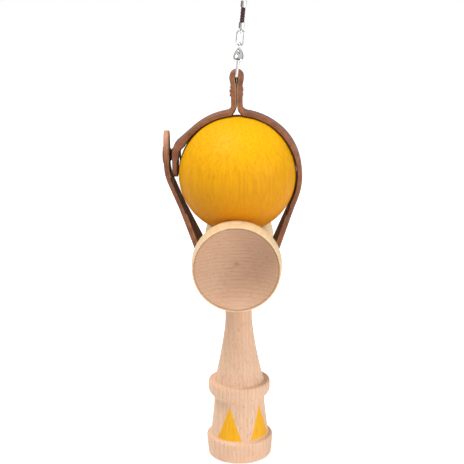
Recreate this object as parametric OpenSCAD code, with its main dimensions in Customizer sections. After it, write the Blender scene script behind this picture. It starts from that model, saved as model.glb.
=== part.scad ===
// Wooden cup-and-ball toy standing on its base cup, its ball spiked on the handle,
// carried in a leather strap holster with a snap, a rivet and a swivel clasp.
// Millimetres. Z is the handle's axis, the base rests on Z = 0, the big cup faces -Y.

/* [Handle] */
// Radius of the ring that the base cup stands in
base_r = 17.6; // [16.5:0.1:19]
// Height of the base ring
base_h = 11.6; // [10.5:0.1:13]
// Radius of the flat rim that touches the table
foot_r = 15.0; // [14.5:0.1:15.6]
// Radius at the mouth of the base cup
base_cup_r = 13.9; // [12.5:0.1:14.2]
// Depth of the base cup
base_cup_depth = 6.5; // [4:0.1:8]
// Radius of the waist just above the base ring
waist_low_r = 15.3; // [14.4:0.1:16]
// Radius of the waist at its narrowest
waist_top_r = 13.4; // [12.5:0.1:14]
// Height of the narrowest place of the waist
waist_top_z = 30.5; // [28:0.1:32]
// Radius of the slip ring
slip_r = 16.4; // [15.5:0.1:17.5]
// Height of the slip ring's top edge
slip_z = 42.3; // [40:0.1:44]
// Height of the slip ring's round side
slip_h = 6.5; // [5:0.1:8]
// Radius of the flare where it leaves the slip ring
flare_r = 12.9; // [12:0.1:14]
// Radius of the neck below the cross cups
neck_r = 7.0; // [6.2:0.1:7.6]
// Height where the neck becomes straight
neck_z = 77; // [72:0.5:84]
// Radius of the spike where it leaves the cross cups
spike_r = 6.3; // [5.5:0.1:6.6]
// Length of the spike above the cross cups
spike_len = 38; // [32:0.5:40]
// Radius of the spike's round tip
spike_tip_r = 2.4; // [1.8:0.1:3]

/* [Cross cups] */
// Height of the cup axis above the table
cup_axis_z = 114; // [110:0.5:118]
// Radius of the barrel between the cups
barrel_r = 12.3; // [11.5:0.1:13]
// Distance of the big cup's rim from the handle's axis
big_cup_reach = 35; // [33:0.5:38]
// Outer radius of the big cup at its rim
big_cup_r = 22.1; // [21:0.1:23]
// Distance of the small cup's rim from the handle's axis
small_cup_reach = 35; // [33:0.5:38]
// Outer radius of the small cup at its rim
small_cup_r = 17.8; // [16.8:0.1:19.5]
// Length of the straight wall behind each cup's rim
cup_wall_len = 10.5; // [7:0.5:11]
// How much wider each cup is at the back of that wall than at its rim
cup_swell = 0.6; // [0:0.1:1]
// Width of each cup's rim
cup_lip = 1.0; // [0.8:0.1:1.5]
// Depth of the big cup
big_cup_depth = 10.5; // [9.5:0.1:12]
// Depth of the small cup
small_cup_depth = 7.8; // [6.5:0.1:9]
// Radius of the hole for the string
string_hole_r = 1.5; // [1:0.1:2]

/* [Ball] */
// Radius of the ball
ball_r = 30; // [29.5:0.1:30.4]
// Radius of the hole's mouth
hole_mouth_r = 11; // [10:0.1:11.5]
// Radius of the hole at its inner end
hole_end_r = 8; // [7:0.1:9]
// Depth of the hole from its mouth
hole_depth = 42; // [41:0.5:46]
// Gap between the ball's mouth and the barrel
ball_gap = 0.3; // [0.2:0.05:1]

/* [Strap] */
// Thickness of the leather
leather_t = 2.7; // [2.4:0.1:3]
// Width of the strap beside the ball
strap_w = 12; // [10:0.5:14]
// Width of the strap at the clasp loop and over the ball's top
loop_w = 7.4; // [7:0.1:8]
// Width of the strap where it carries the cross cups
cradle_w = 27; // [24:0.5:29]
// Width of the slot that the handle passes through
slot_w = 15.8; // [15.4:0.1:17]
// Height of the slot's two ends
slot_end_z = 110; // [106:0.5:112]
// Gap between the ball and the strap
strap_gap = 0.3; // [0.3:0.05:0.8]
// Gap between the ball and the upright stretch at the band's free end
tab_gap = 0.25; // [0.2:0.05:0.6]
// Inner radius of the strap's bend below the cross cups
cradle_r = 15.8; // [15.2:0.1:17]
// Height above the ball's centre from which the flap stands upright
flap_upright = 6; // [4.5:0.5:6]
// Radius at which the flap bends upright
flap_bend_r = 25; // [22:1:30]
// Height of the flap's free end above the ball's centre
flap_top = 22.5; // [20:0.5:28]
// Height where the flap leaves the band
flap_root_z = 118; // [116:0.5:122]
// Gap between the flap's root and the band
flap_root_gap = 0.15; // [0.05:0.05:0.4]
// Height of the band's free end below the ball's centre
tab_end = 1.4; // [0:0.1:1.5]
// Radius at which the strap turns up into its neck
neck_bend_r = 3.6; // [3:0.1:5]
// Length of the closed neck
neck_len = 10.4; // [9:0.1:12]
// Gap between the two layers of the neck
layer_gap = 0.4; // [0.1:0.1:0.6]
// Inner half width of the clasp loop
loop_r = 1.1; // [1.0:0.05:1.3]
// Length of the clasp loop above the closed neck
loop_len = 4.5; // [4:0.1:6]

/* [Rivet and snap] */
// Radius of the rivet's caps
rivet_cap_r = 2.65; // [2.2:0.05:3]
// Radius of the rivet's post
rivet_post_r = 1.2; // [0.9:0.05:1.5]
// Height of the rivet's caps
rivet_cap_h = 0.9; // [0.6:0.05:1.2]
// Radius of the snap's cap
snap_cap_r = 4.4; // [4.2:0.1:5]
// Height of the snap's cap
snap_cap_h = 0.8; // [0.6:0.1:1.2]
// Radius of the snap's socket
snap_socket_r = 3.9; // [3.4:0.1:4.2]
// Radius of the snap's stud
snap_stud_r = 1.9; // [1.6:0.1:2.1]
// Height of the snap above the ball's centre
snap_z = 10; // [9:0.5:12]
// Gap between the flap and the band, which the snap fills
snap_gap = 1.5; // [1.3:0.1:1.8]
// Clearance of the stud in its socket
snap_play = 0.35; // [0.3:0.05:0.5]

/* [Clasp] */
// Lean of the clasp and what hangs on it
chain_lean = 6; // [0:0.5:7]
// Radius of the hook's wire
hook_wire_r = 0.7; // [0.6:0.05:0.8]
// Half width of the hook's opening
hook_half = 5.4; // [5.2:0.1:6]
// Height of the hook from its bottom to the clasp's body
hook_h = 7.6; // [7.4:0.1:8.6]
// Height of the clasp's body
clasp_body_h = 5.8; // [5.6:0.1:7]
// Thickness of the clasp's body
clasp_body_t = 5.4; // [5:0.1:6]
// Thickness of the gate that closes the hook
gate_t = 1.5; // [1.2:0.1:1.6]
// Clearance on each side of the gate and round its pin
clasp_play = 0.05; // [0.03:0.01:0.1]
// Radius of the gate's pin
gate_pin_r = 0.5; // [0.4:0.05:0.6]
// Radius of the swivel's stem
swivel_stem_r = 0.9; // [0.7:0.05:1]
// Outer radius of the swivel's and the ferrules' eyes
swivel_eye_r = 1.8; // [1.75:0.05:2.1]
// Radius of the wire of the eyes, the oval link and the key ring
eye_wire_r = 0.5; // [0.4:0.02:0.5]
// Outer length of the oval link
link_len = 8.6; // [8:0.1:10]
// Outer width of the oval link
link_w = 4.4; // [4:0.1:5]

/* [Tether] */
// Radius of the cord between the two ferrules
cord_r = 1.15; // [0.9:0.05:1.3]
// Length of the cord that shows between the ferrules
cord_len = 7.6; // [6:0.1:10]
// Radius of the ferrules
ferrule_r = 1.5; // [1.4:0.05:1.8]
// Height of each ferrule
ferrule_h = 2.6; // [2.2:0.1:3.4]
// Outer radius of the key ring
key_ring_r = 9; // [7:0.5:11]

/* [Hidden] */
$fn = 96;

beech = [0.87, 0.71, 0.58];
yellow = [0.98, 0.74, 0.12];
tan_leather = [0.55, 0.35, 0.25];
chrome = [0.80, 0.80, 0.82];
brass = [0.45, 0.36, 0.26];
maroon = [0.23, 0.12, 0.13];

// The cross cups' seat on the handle, a slim cone
seat_low_z = cup_axis_z - barrel_r - 0.8;
seat_play = 0.02;
spike_z = cup_axis_z + barrel_r;
spike_top = spike_z + spike_len;
small_fillet = 1.2;
// The slip ring's underside flows into the waist in an S of two equal bends
undercut_angle = 50;
undercut_r = (slip_r - waist_top_r) / (2 * (1 - cos(undercut_angle)));
slip_side_z = slip_z - slip_h + 2.2;
undercut_low_z = slip_side_z - 2 * undercut_r * sin(undercut_angle);

// The ball stands with its mouth just above the barrel
ball_z = spike_z + ball_gap + sqrt(ball_r * ball_r - hole_mouth_r * hole_mouth_r);
mouth_z = spike_z + ball_gap;
mouth_chamfer = 1.4;

// The strap's middle line: round the ball, down both sides, round below the cross cups
t2 = leather_t / 2;
over_r = ball_r + strap_gap + t2;
under_r = cradle_r + t2;
drop = ball_z - cup_axis_z;
side_lean = asin((over_r - under_r) / drop);
// Upright stretch at the band's free end, which leaves the ball at this angle above its centre
tab_angle = 48;
tab_x = -(ball_r + tab_gap + t2);
// The flap's middle line: a straight tangent from the bend below the cross cups to its own bend, then upright
flap_x = tab_x - leather_t - snap_gap;
flap_upright_z = ball_z + flap_upright;
bend_from_cradle = [-(flap_x + flap_bend_r), flap_upright_z - cup_axis_z];
flap_lean = acos((under_r - flap_bend_r) / norm(bend_from_cradle))
    - atan2(bend_from_cradle[1], bend_from_cradle[0]);
function flap_line_x(z) = -(under_r / cos(flap_lean) + tan(flap_lean) * (z - cup_axis_z));
flap_top_z = ball_z + flap_top;
// The neck and the loop above the ball
neck_x = t2 + layer_gap / 2;
neck_bend_x = neck_x + neck_bend_r;
neck_z0 = ball_z + sqrt(pow(over_r + neck_bend_r, 2) - pow(neck_bend_x, 2));
neck_z1 = neck_z0 + neck_len;
loop_z = neck_z1 + loop_len;
loop_outer_r = loop_r + leather_t;
neck_side_angle = atan2(neck_z0 - ball_z, neck_bend_x);
rivet_z = neck_z1 - rivet_cap_r - 0.3;
rivet_face = neck_x + t2;
snap_at_z = ball_z + snap_z;
snap_plate_h = 0.8;
snap_post_r = 1.4;

// The clasp hangs by the bottom of its hook, inside the loop
hook_play = 0.1;
hook_z = loop_z + loop_r - hook_wire_r - hook_play;
hook_corner_r = hook_half - loop_w / 2 - 0.1;
hook_tip_h = 4.4;
gate_pin_h = hook_h + 1.3;
gate_gap = 0.3;
body_top = hook_h + clasp_body_h;
stem_sink = 2;
eye_mid_r = swivel_eye_r - eye_wire_r;
eye_h = body_top + 0.1 + swivel_eye_r;
link_mid_r = link_w / 2 - eye_wire_r;
link_top_h = eye_h + link_len - 2 * eye_wire_r;
ferrule_foot = link_top_h + eye_mid_r;
cord_foot = ferrule_foot + ferrule_h;
cord_top = cord_foot + cord_len;
ring_eye_h = cord_top + ferrule_h + eye_mid_r;

// Points of an arc in the plane, from angle a0 to a1
function arc(cx, cy, r, a0, a1, n) =
    [for (i = [0:n]) [cx + r * cos(a0 + (a1 - a0) * i / n), cy + r * sin(a0 + (a1 - a0) * i / n)]];
// Radius of the handle's flare, which thins steeply first and then slowly
flare_power = 1.4;
function flare(z) = neck_r + (flare_r - neck_r) * pow((neck_z - z) / (neck_z - slip_z), flare_power);

module ken_profile() {
    side_r = base_r - 0.7;
    polygon(concat(
        [[0, 0], [foot_r, 0]],
        arc(side_r - 1.5, 1.5, 1.5, -70, 0, 6),
        arc(base_r - small_fillet, base_h - small_fillet, small_fillet, 0, 90, 8),
        [[waist_low_r + 0.5, base_h + 0.1], [waist_low_r, base_h + 0.7]],
        [[waist_top_r + 0.1, min(waist_top_z, undercut_low_z) - 1.5]],
        arc(waist_top_r + undercut_r, undercut_low_z, undercut_r, 180, 180 - undercut_angle, 8),
        arc(slip_r - undercut_r, slip_side_z, undercut_r, -undercut_angle * 7 / 8, 0, 7),
        arc(slip_r - small_fillet, slip_z - small_fillet, small_fillet, 0, 90, 8),
        [for (i = [0:16]) let (z = slip_z + 0.1 + (neck_z - slip_z - 0.1) * i / 16) [flare(z), z]],
        [[neck_r, seat_low_z], [spike_r, spike_z]],
        [for (i = [1:7]) let (f = i / 8, z = spike_z + (spike_len - spike_tip_r) * f)
            [spike_tip_r + (spike_r - spike_tip_r) * (1 - pow(f, 1.25)), z]],
        arc(0, spike_top - spike_tip_r, spike_tip_r, 8, 90, 8)));
}

module ken_handle() {
    cup_ball_r = (base_cup_r * base_cup_r + base_cup_depth * base_cup_depth) / (2 * base_cup_depth);
    color(beech) difference() {
        rotate_extrude() ken_profile();
        translate([0, 0, base_cup_depth - cup_ball_r]) sphere(r = cup_ball_r);
        translate([-neck_r - 1, 0, cup_axis_z]) rotate([0, 90, 0]) cylinder(r = string_hole_r, h = 2 * neck_r + 2);
    }
}

// Half of the cross cups' outline: radius against the distance along the cup's axis
barrel_half = 11;
cup_flare_power = 1.9;
function cup_side(reach, cup_r) = let (wall = reach - cup_wall_len) concat(
    [for (i = [0:10]) let (f = i / 10)
        [barrel_r + (cup_r + cup_swell - barrel_r) * pow(f, cup_flare_power),
            barrel_half + (wall - barrel_half) * f]],
    arc(cup_r - cup_lip / 2, reach - cup_lip / 2, cup_lip / 2, 0, 90, 5));

module dish(reach, cup_r, depth) {
    mouth = cup_r - cup_lip;
    dish_r = (mouth * mouth + depth * depth) / (2 * depth);
    translate([0, 0, reach - depth + dish_r]) sphere(r = dish_r);
}

module cross_cups() {
    color(beech) difference() {
        translate([0, 0, cup_axis_z]) rotate([90, 0, 0]) difference() {
            union() {
                rotate_extrude() polygon(concat([[0, 0]], [[barrel_r, 0]],
                    cup_side(big_cup_reach, big_cup_r), [[0, big_cup_reach]]));
                mirror([0, 0, 1]) rotate_extrude() polygon(concat([[0, 0]], [[barrel_r, 0]],
                    cup_side(small_cup_reach, small_cup_r), [[0, small_cup_reach]]));
            }
            dish(big_cup_reach, big_cup_r, big_cup_depth);
            mirror([0, 0, 1]) dish(small_cup_reach, small_cup_r, small_cup_depth);
        }
        rotate_extrude() polygon([[0, seat_low_z], [neck_r + seat_play, seat_low_z],
            [spike_r + seat_play, spike_z], [0, spike_z]]);
        translate([0, 0, spike_z - 1]) cylinder(r = spike_r + seat_play, h = 3);
        translate([0, 0, seat_low_z - 3]) cylinder(r = neck_r + seat_play, h = 3.01);
        translate([0, 0, cup_axis_z]) rotate([0, 90, 0]) cylinder(r = string_hole_r, h = barrel_r + 1);
    }
}

module ball() {
    color(yellow) difference() {
        translate([0, 0, ball_z]) sphere(r = ball_r);
        translate([0, 0, mouth_z - 5]) cylinder(r = hole_mouth_r, h = 5);
        translate([0, 0, mouth_z - 0.01]) cylinder(r1 = hole_mouth_r, r2 = hole_mouth_r - mouth_chamfer,
            h = mouth_chamfer + 0.01);
        translate([0, 0, mouth_z + mouth_chamfer - 0.01]) cylinder(r1 = hole_mouth_r - mouth_chamfer,
            r2 = hole_end_r, h = hole_depth - mouth_chamfer + 0.01);
        translate([0, 0, mouth_z + hole_depth - 1]) cylinder(r = string_hole_r, h = 2 * ball_r);
    }
}

// The middle line of the leather, in the XZ plane: from the band's free end up the left side,
// over the ball, round the clasp loop, down the right side and below the cross cups
tab_knee_z = ball_z + over_r * sin(tab_angle) - (-tab_x - over_r * cos(tab_angle)) / tan(tab_angle);
function band_line() = concat(
    [[tab_x, ball_z - tab_end], [tab_x, tab_knee_z]],
    arc(0, ball_z, over_r, 180 - tab_angle, 180 - neck_side_angle, 20),
    arc(-neck_bend_x, neck_z0, neck_bend_r, -neck_side_angle + 12, 0, 6),
    [[-neck_x, neck_z1]],
    arc(0, loop_z, loop_r + t2, 180, 0, 16),
    [[neck_x, neck_z1]],
    arc(neck_bend_x, neck_z0, neck_bend_r, 180, 180 + neck_side_angle - 12, 6),
    arc(0, ball_z, over_r, neck_side_angle, -side_lean, 32),
    arc(0, cup_axis_z, under_r, -side_lean, flap_lean - 180, 32),
    [[flap_line_x(flap_root_z), flap_root_z]]);
function flap_line() = let (low = flap_root_z + flap_root_gap) concat(
    [[flap_line_x(low), low]],
    arc(flap_x + flap_bend_r, flap_upright_z, flap_bend_r, 180 + flap_lean, 180, 10),
    [[flap_x, flap_top_z]]);

// A leather layer of one thickness along a middle line, mitred at its points
function unit(v) = v / norm(v);
function across(line, i) = let (
    before = unit(line[max(i, 1)] - line[max(i, 1) - 1]),
    after = unit(line[min(i + 1, len(line) - 1)] - line[min(i, len(line) - 2)]),
    both = (before + after) / (1 + before * after)) [-both[1], both[0]];
module layer(line) {
    polygon(concat(
        [for (i = [0:len(line) - 1]) line[i] + t2 * across(line, i)],
        [for (i = [len(line) - 1:-1:0]) line[i] - t2 * across(line, i)]));
}

// Pushes an outline in the XZ plane out to both sides along Y
module push_y(w) {
    translate([0, w / 2, 0]) rotate([90, 0, 0]) linear_extrude(height = w) children();
}

// Pushes an outline in the YZ plane out to both sides along X
module push_x(w) {
    translate([-w / 2, 0, 0]) rotate([90, 0, 90]) linear_extrude(height = w) children();
}

// The strap's width against height; the band is narrower over the ball's top, the flap isn't
widen_from = ball_z - 17;
widen_to = cup_axis_z + 4;
narrow_from = ball_z + 16;
narrow_to = ball_z + 27;
strap_foot = cup_axis_z - under_r - leather_t;
module strap_widths(top_w) {
    half = [[top_w / 2, loop_z + loop_outer_r + 1], [top_w / 2, narrow_to], [strap_w / 2, narrow_from],
        [strap_w / 2, widen_from], [cradle_w / 2, widen_to], [cradle_w / 2, strap_foot]];
    polygon(concat(half, [for (i = [len(half) - 1:-1:0]) [-half[i][0], half[i][1]]]));
}

// The slot that the handle passes through
module slot() {
    push_x(4 * over_r) {
        translate([0, slot_end_z - slot_w / 2]) circle(r = slot_w / 2);
        translate([-slot_w / 2, strap_foot]) square([slot_w, slot_end_z - slot_w / 2 - strap_foot]);
    }
}

// Holes along X through one leather layer
module hole_x(x, z, r) {
    translate([x - leather_t, 0, z]) rotate([0, 90, 0]) cylinder(r = r, h = 2 * leather_t);
}

module strap_band() {
    color(tan_leather) difference() {
        intersection() {
            push_y(cradle_w) layer(band_line());
            push_x(4 * over_r) strap_widths(loop_w);
        }
        slot();
        hole_x(tab_x, snap_at_z, snap_post_r);
        translate([-leather_t - 1, 0, rivet_z]) rotate([0, 90, 0])
            cylinder(r = rivet_post_r, h = 2 * leather_t + 2);
        rounded_end(tab_x, ball_z - tab_end, -1);
    }
}

// What is cut off a strap's end at height z to leave it round; up is 1 at a top end
module rounded_end(x, z, up) {
    translate([x, 0, z]) mirror([0, 0, up < 0 ? 1 : 0]) translate([0, 0, -strap_w / 2])
        push_x(leather_t + 1) difference() {
            translate([-strap_w, 0]) square([2 * strap_w, strap_w]);
            circle(r = strap_w / 2);
        }
}

module strap_flap() {
    color(tan_leather) difference() {
        intersection() {
            push_y(cradle_w) layer(flap_line());
            push_x(4 * over_r) strap_widths(strap_w);
        }
        hole_x(flap_x, snap_at_z, snap_post_r);
        rounded_end(flap_x, flap_top_z, 1);
    }
}

// A turned piece on the X axis at height z: its outline is drawn as radius against X
module turned_x(x, z) {
    translate([x, 0, z]) rotate([0, 90, 0]) rotate_extrude() children();
}

module domed_cap(r, h) {
    edge = h / 2;
    polygon(concat([[0, 0], [r - 0.1, 0]], arc(r - edge, edge, edge, 0, 60, 5), [[0, h]]));
}

module rivet_cap() {
    color(brass) turned_x(-rivet_face, rivet_z) mirror([0, 1]) domed_cap(rivet_cap_r, rivet_cap_h);
}

module rivet_post() {
    foot_h = rivet_cap_h * 0.6;
    color(brass) union() {
        turned_x(-rivet_face, rivet_z) square([rivet_post_r, 2 * rivet_face]);
        turned_x(rivet_face, rivet_z) domed_cap(rivet_cap_r * 0.85, foot_h);
    }
}

module snap_cap() {
    color(brass) union() {
        turned_x(flap_x - t2, snap_at_z) mirror([0, 1]) domed_cap(snap_cap_r, snap_cap_h);
        turned_x(flap_x - t2, snap_at_z) square([snap_post_r, leather_t]);
    }
}

module snap_socket() {
    mouth = snap_stud_r + snap_play;
    color(brass) turned_x(flap_x + t2, snap_at_z)
        polygon([[0, 0], [snap_socket_r, 0], [snap_socket_r, snap_plate_h - 0.2], [mouth + 0.6, snap_gap * 0.7],
            [mouth, snap_gap * 0.7], [mouth, 0.3], [0, 0.3]]);
}

module snap_stud() {
    reach = snap_gap - 0.5;
    color(brass) turned_x(tab_x - t2, snap_at_z) mirror([0, 1])
        polygon(concat([[0, 0], [snap_socket_r - 0.4, 0], [snap_socket_r - 0.4, 0.3], [snap_stud_r - 0.3, 0.35]],
            arc(snap_stud_r - 0.35, reach - 0.35, 0.35, -30, 90, 5), [[0, reach]]));
}

module snap_eyelet() {
    color(brass) union() {
        turned_x(tab_x - t2, snap_at_z) square([snap_post_r, leather_t]);
        turned_x(tab_x + t2, snap_at_z) domed_cap(snap_socket_r - 0.5, 0.5);
    }
}

// Everything from here on leans with the clasp, with its own Z along the chain
module lean() {
    translate([0, 0, hook_z]) rotate([0, chain_lean, 0]) children();
}

// A quarter bend of wire in the YZ plane: centre (y, z), turned by angle
module wire_bend(y, z, r, wire, from) {
    translate([0, y, z]) rotate([from, 0, 0]) rotate([0, 90, 0]) rotate([0, 0, 90])
        rotate_extrude(angle = 90) translate([r, 0]) circle(r = wire);
}

module wire_up(y, z0, z1, wire) {
    translate([0, y, z0]) cylinder(r = wire, h = z1 - z0);
}

module clasp_shell() {
    // Seen from the side, the body narrows from the hook's width to the swivel's stem
    side = hook_half + hook_wire_r;
    intersection() {
        push_x(clasp_body_t) polygon(concat(
            arc(-side + 1.2, hook_h + 1.2, 1.2, 180, 270, 6),
            arc(side - 1.2, hook_h + 1.2, 1.2, 270, 360, 6),
            arc(0, body_top - 2.6, 2.6, 20, 160, 10)));
        push_y(4 * side) polygon(concat(
            arc(-clasp_body_t / 2 + 1.5, hook_h + 1.5, 1.5, 180, 270, 6),
            arc(clasp_body_t / 2 - 1.5, hook_h + 1.5, 1.5, 270, 360, 6),
            arc(0, body_top - 2.2, 2.2, 20, 160, 10)));
    }
}

module clasp_body() {
    straight_end = hook_corner_r;
    color(chrome) lean() difference() {
        union() {
            clasp_shell();
            wire_up(-hook_half, straight_end, hook_h + 1, hook_wire_r);
            wire_up(hook_half, straight_end, hook_tip_h, hook_wire_r);
            wire_bend(-hook_half + hook_corner_r, hook_corner_r, hook_corner_r, hook_wire_r, 180);
            wire_bend(hook_half - hook_corner_r, hook_corner_r, hook_corner_r, hook_wire_r, 270);
            translate([0, -hook_half + hook_corner_r, 0]) rotate([-90, 0, 0])
                cylinder(r = hook_wire_r, h = 2 * (hook_half - hook_corner_r));
        }
        gate_slot();
        translate([-clasp_body_t, hook_half, gate_pin_h]) rotate([0, 90, 0])
            cylinder(r = gate_pin_r, h = 2 * clasp_body_t);
        translate([0, 0, body_top - stem_sink]) cylinder(r = swivel_stem_r + clasp_play, h = stem_sink + 1);
        translate([0, 0, body_top - stem_sink - 0.8]) cylinder(r = swivel_stem_r + 0.45, h = 1);
    }
}

// The slot at the back of the body, in which the gate turns
module gate_slot() {
    slot_t = gate_t + 2 * clasp_play;
    translate([-slot_t / 2, hook_half - 2.6, hook_h - 1]) cube([slot_t, 8, gate_pin_h + 1.6 - hook_h + 1]);
}

module clasp_gate() {
    color(chrome) lean() difference() {
        push_x(gate_t) union() {
            translate([hook_half, gate_pin_h]) circle(r = 1.3);
            translate([hook_half - 0.7, hook_tip_h + gate_gap + 0.7]) square([1.4, gate_pin_h - hook_tip_h - gate_gap - 0.7]);
            translate([hook_half, hook_tip_h + gate_gap + 0.7]) circle(r = 0.7);
            translate([hook_half, gate_pin_h - 0.5]) square([2.4, 1]);
            translate([hook_half + 2.4, gate_pin_h]) circle(r = 0.7);
        }
        translate([-gate_t, hook_half, gate_pin_h]) rotate([0, 90, 0])
            cylinder(r = gate_pin_r + clasp_play, h = 2 * gate_t);
    }
}

module gate_pin() {
    color(chrome) lean() translate([-clasp_body_t / 2 + 0.4, hook_half, gate_pin_h]) rotate([0, 90, 0])
        cylinder(r = gate_pin_r, h = clasp_body_t - 0.8);
}

// A small coil in the slot, behind the gate's head
module gate_spring() {
    color(chrome) lean() translate([0, hook_half - 2.0, gate_pin_h]) rotate([0, 90, 0])
        rotate_extrude() translate([0.35, -gate_t * 0.4]) square([0.2, gate_t * 0.8]);
}

// An eye of round wire, its hole along X, centred at height h
module eye(h) {
    translate([0, 0, h]) rotate([0, 90, 0]) rotate_extrude() translate([eye_mid_r, 0]) circle(r = eye_wire_r);
}

module swivel_eye() {
    color(chrome) lean() union() {
        eye(eye_h);
        translate([0, 0, body_top - stem_sink]) cylinder(r = swivel_stem_r, h = eye_h - eye_mid_r - body_top + stem_sink);
        translate([0, 0, body_top - stem_sink - 0.7]) cylinder(r = swivel_stem_r + 0.35, h = 0.7);
    }
}

// An oval link of round wire in the XZ plane
module oval_link() {
    rise = link_top_h - eye_h - 2 * link_mid_r;
    color(chrome) lean() translate([0, 0, eye_h]) union() {
        for (s = [-1, 1]) translate([s * link_mid_r, 0, link_mid_r]) cylinder(r = eye_wire_r, h = rise);
        translate([0, 0, link_mid_r]) rotate([90, 0, 0]) rotate([0, 0, 180]) rotate_extrude(angle = 180)
            translate([link_mid_r, 0]) circle(r = eye_wire_r);
        translate([0, 0, link_mid_r + rise]) rotate([90, 0, 0]) rotate_extrude(angle = 180)
            translate([link_mid_r, 0]) circle(r = eye_wire_r);
    }
}

// A ferrule: a short tube crimped on the cord, closed at the far end and carrying an eye
module ferrule(foot, up) {
    translate([0, 0, foot]) mirror([0, 0, up < 0 ? 1 : 0]) difference() {
        union() {
            eye(-eye_mid_r);
            translate([0, 0, -0.3]) cylinder(r = ferrule_r, h = ferrule_h + 0.3);
        }
        translate([0, 0, 0.6]) cylinder(r = cord_r, h = ferrule_h);
    }
}

module lower_ferrule() {
    color(chrome) lean() ferrule(ferrule_foot, 1);
}

module upper_ferrule() {
    color(chrome) lean() ferrule(cord_top + ferrule_h, -1);
}

module tether_cord() {
    color(maroon) lean() translate([0, 0, ferrule_foot + 0.6])
        cylinder(r = cord_r, h = cord_top + ferrule_h - 0.6 - ferrule_foot - 0.6);
}

module key_ring() {
    color(chrome) lean() translate([0, 0, ring_eye_h + key_ring_r - eye_wire_r]) rotate([90, 0, 0])
        rotate_extrude() translate([key_ring_r - eye_wire_r, 0]) circle(r = eye_wire_r);
}

ken_handle();
cross_cups();
ball();
strap_band();
strap_flap();
rivet_cap();
rivet_post();
snap_cap();
snap_socket();
snap_stud();
snap_eyelet();
clasp_body();
clasp_gate();
gate_pin();
gate_spring();
swivel_eye();
oval_link();
lower_ferrule();
tether_cord();
upper_ferrule();
key_ring();
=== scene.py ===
"""A wooden cup-and-ball toy in its leather strap holster: looks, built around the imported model."""
import math

import bmesh
import bpy
from mathutils import Matrix, Vector


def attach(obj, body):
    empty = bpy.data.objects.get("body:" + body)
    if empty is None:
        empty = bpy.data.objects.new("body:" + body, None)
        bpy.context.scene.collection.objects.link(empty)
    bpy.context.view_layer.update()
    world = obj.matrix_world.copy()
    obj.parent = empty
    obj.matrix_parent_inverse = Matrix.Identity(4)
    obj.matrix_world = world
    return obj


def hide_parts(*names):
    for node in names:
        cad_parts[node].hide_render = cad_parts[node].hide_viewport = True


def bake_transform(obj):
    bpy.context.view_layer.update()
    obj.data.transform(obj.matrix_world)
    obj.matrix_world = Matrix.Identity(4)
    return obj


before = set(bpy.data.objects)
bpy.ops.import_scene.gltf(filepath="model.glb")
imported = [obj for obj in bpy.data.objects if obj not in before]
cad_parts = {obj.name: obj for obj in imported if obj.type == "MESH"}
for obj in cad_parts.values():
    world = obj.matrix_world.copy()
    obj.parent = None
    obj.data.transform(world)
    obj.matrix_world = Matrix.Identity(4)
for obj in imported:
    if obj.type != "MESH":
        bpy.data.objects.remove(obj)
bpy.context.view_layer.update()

MM = 0.001

# ---------------------------------------------------------------------------
# Driving sizes, in millimetres, as the model has them

BALL_R = 30.0
CUP_AXIS_Z = 114.0
BARREL_R = 12.3
BALL_GAP = 0.3
HOLE_MOUTH_R = 11.0
HOLE_END_R = 8.0
HOLE_DEPTH = 42.0
MOUTH_CHAMFER = 1.4
STRING_HOLE_R = 1.5
MOUTH_Z = CUP_AXIS_Z + BARREL_R + BALL_GAP
BALL_Z = MOUTH_Z + math.sqrt(BALL_R**2 - HOLE_MOUTH_R**2)

BASE_R, BASE_H, FOOT_R = 17.6, 11.6, 15.0
BASE_CUP_R, BASE_CUP_DEPTH = 13.9, 6.5
WAIST_LOW_R, WAIST_TOP_R = 15.3, 13.4
SLIP_R, SLIP_Z, SLIP_H = 16.4, 42.3, 6.5
FLARE_R, FLARE_POWER = 12.9, 1.4
NECK_R, NECK_Z = 7.0, 77.0
SPIKE_R, SPIKE_LEN, SPIKE_TIP_R = 6.3, 38.0, 2.4
SPIKE_Z = CUP_AXIS_Z + BARREL_R
SPIKE_TOP = SPIKE_Z + SPIKE_LEN
SEAT_LOW_Z = CUP_AXIS_Z - BARREL_R - 0.8
SPIKE_POWER = 1.25
SMALL_FILLET, ROOT_FILLET, FLARE_FILLET = 1.2, 0.6, 0.55
FOOT_ROUND, MOUTH_ROUND, BASE_TAPER = 1.5, 0.35, 0.7
UNDERCUT_DEG, SLIP_SIDE_UP = 50.0, 2.2

BIG_CUP_REACH, BIG_CUP_R, BIG_CUP_DEPTH = 35.0, 22.1, 10.5
SMALL_CUP_REACH, SMALL_CUP_R, SMALL_CUP_DEPTH = 35.0, 17.8, 7.8
CUP_WALL_LEN, CUP_SWELL, CUP_LIP = 10.5, 0.6, 1.0
BARREL_HALF, CUP_FLARE_POWER = 11.0, 1.9

LEATHER_T = 2.7
STRAP_W, LOOP_W, CRADLE_W = 12.0, 7.4, 27.0
SLOT_W, SLOT_END_Z = 15.8, 110.0
STRAP_GAP, CRADLE_R = 0.3, 15.8
FLAP_BEND_R, FLAP_UPRIGHT, FLAP_TOP = 25.0, 6.0, 22.5
TAB_END, TAB_ANGLE, TAB_GAP = 1.4, 48.0, 0.25
NECK_BEND_R, NECK_LEN, LOOP_R, LOOP_LEN = 3.6, 10.4, 1.1, 4.5
LAYER_GAP = 0.4

SNAP_GAP, SNAP_Z, SNAP_CAP_R, SNAP_CAP_H = 1.5, 10.0, 4.4, 0.8
SNAP_SOCKET_R, SNAP_STUD_R, SNAP_POST_R = 3.9, 1.9, 1.4
RIVET_CAP_R, RIVET_CAP_H, RIVET_POST_R = 2.65, 0.9, 1.2

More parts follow.
